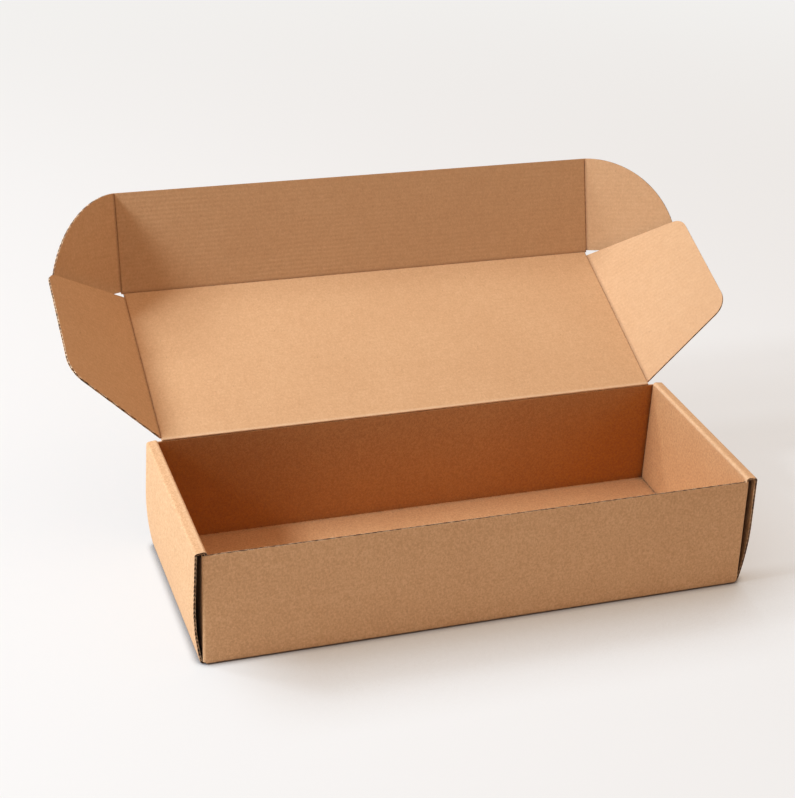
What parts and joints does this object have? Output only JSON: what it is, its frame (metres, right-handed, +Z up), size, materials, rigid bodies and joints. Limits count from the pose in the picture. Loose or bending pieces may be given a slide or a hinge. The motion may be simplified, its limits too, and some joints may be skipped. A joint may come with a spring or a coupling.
{
  "type": "tuck-top mailer box",
  "caption": "Shallow folded kraft corrugated box with rolled side walls and a hinged lid, standing open, with tuck flap, rounded wings and side ears.",
  "frame": {"origin": "middle of the tray's underside", "axes": "+X along the length to the right, -Y to the front wall, +Y to the lid's crease, +Z up"},
  "size_m": [0.5144, 0.3184, 0.2168],
  "materials": {
    "kraft_board": "matte"
  },
  "bodies": {
    "tray": {"tray": "kraft_board"},
    "lid": {"lid": "kraft_board"},
    "tuck_flap": {"tuck_flap": "kraft_board"},
    "ear_left": {"ear_left": "kraft_board"},
    "ear_right": {"ear_right": "kraft_board"},
    "wing_left": {"wing_left": "kraft_board"},
    "wing_right": {"wing_right": "kraft_board"}
  },
  "joints": [
    {"name": "lid_hinge", "type": "hinge", "parent": "tray", "child": "lid", "pos_m": [0, 0.07925, 0.086], "axis": [1, 0, 0], "range_deg": [-42, 90]},
    {"name": "tuck_flap_fold", "type": "hinge", "parent": "lid", "child": "tuck_flap", "pos_m": [0, 0.21653, 0.14146], "axis": [1, 0, 0], "range_deg": [-52, 3]},
    {"name": "ear_left_fold", "type": "hinge", "parent": "lid", "child": "ear_left", "pos_m": [-0.1941, 0.07925, 0.086], "axis": [0, 0.9272, 0.3746], "range_deg": [-41, 49]},
    {"name": "ear_right_fold", "type": "hinge", "parent": "lid", "child": "ear_right", "pos_m": [0.1941, 0.07925, 0.086], "axis": [0, -0.9272, -0.3746], "range_deg": [-41, 49]},
    {"name": "wing_left_fold", "type": "hinge", "parent": "tuck_flap", "child": "wing_left", "pos_m": [-0.19575, 0.21653, 0.14146], "axis": [0, 0.2756, 0.9613], "range_deg": [-39, 51]},
    {"name": "wing_right_fold", "type": "hinge", "parent": "tuck_flap", "child": "wing_right", "pos_m": [0.19575, 0.21653, 0.14146], "axis": [0, -0.2756, -0.9613], "range_deg": [-39, 51]}
  ],
  "couplings": [
    {"joint": "wing_left_fold", "follows": "ear_left_fold", "ratio": 0.93},
    {"joint": "wing_right_fold", "follows": "ear_right_fold", "ratio": 0.93}
  ]
}
